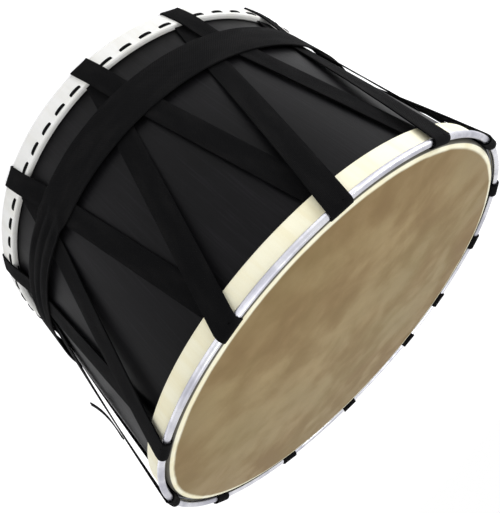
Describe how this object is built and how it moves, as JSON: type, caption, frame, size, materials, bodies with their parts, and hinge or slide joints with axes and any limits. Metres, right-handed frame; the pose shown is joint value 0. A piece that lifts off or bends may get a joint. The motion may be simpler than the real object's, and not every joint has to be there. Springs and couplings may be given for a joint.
{
  "type": "davul",
  "caption": "Shallow two-headed bass drum whose skins are drawn tight by a zigzag lacing of flat black webbing, with a webbing belt round it and a bright steel ring on the beater side.",
  "frame": {"origin": "centre of the drum's base, on the surface it stands on", "axes": "+Z along the drum's axis, from the treble skin up to the bass skin; -Y towards the side that the picture shows"},
  "size_m": [0.5355, 0.535, 0.3398],
  "materials": {
    "shell_wood": "black stained ply, satin, faint grain along the drum's axis",
    "bass_skin": "thick natural hide, mottled tan and brown, cream over the bearing edge",
    "treble_skin": "thin white hide, satin",
    "hoop_strip": "plain strip, hidden in the lapped skins",
    "ring_steel": "bright drawn rod",
    "lacing_webbing": "flat black polypropylene webbing, matte, close weave",
    "belt_webbing": "wide black webbing, matte, gathered into pleats on one stretch"
  },
  "bodies": {
    "root": {"bass_head": "bass_skin", "bass_hoop": "hoop_strip", "bass_ring": "ring_steel", "belt": "belt_webbing", "shell": "shell_wood", "treble_head": "treble_skin", "treble_hoop": "hoop_strip", "webbing_run_01": "lacing_webbing", "webbing_run_02": "lacing_webbing", "webbing_run_03": "lacing_webbing", "webbing_run_04": "lacing_webbing", "webbing_run_05": "lacing_webbing", "webbing_run_06": "lacing_webbing", "webbing_run_07": "lacing_webbing", "webbing_run_08": "lacing_webbing", "webbing_run_09": "lacing_webbing", "webbing_run_10": "lacing_webbing", "webbing_run_11": "lacing_webbing", "webbing_run_12": "lacing_webbing", "webbing_run_13": "lacing_webbing", "webbing_run_14": "lacing_webbing", "webbing_run_15": "lacing_webbing", "webbing_run_16": "lacing_webbing", "webbing_run_17": "lacing_webbing", "webbing_run_18": "lacing_webbing", "webbing_run_19": "lacing_webbing", "webbing_run_20": "lacing_webbing", "webbing_run_21": "lacing_webbing", "webbing_run_22": "lacing_webbing", "webbing_run_23": "lacing_webbing", "webbing_run_24": "lacing_webbing", "webbing_run_25": "lacing_webbing", "webbing_run_26": "lacing_webbing", "webbing_tail": "lacing_webbing"}
  },
  "joints": []
}
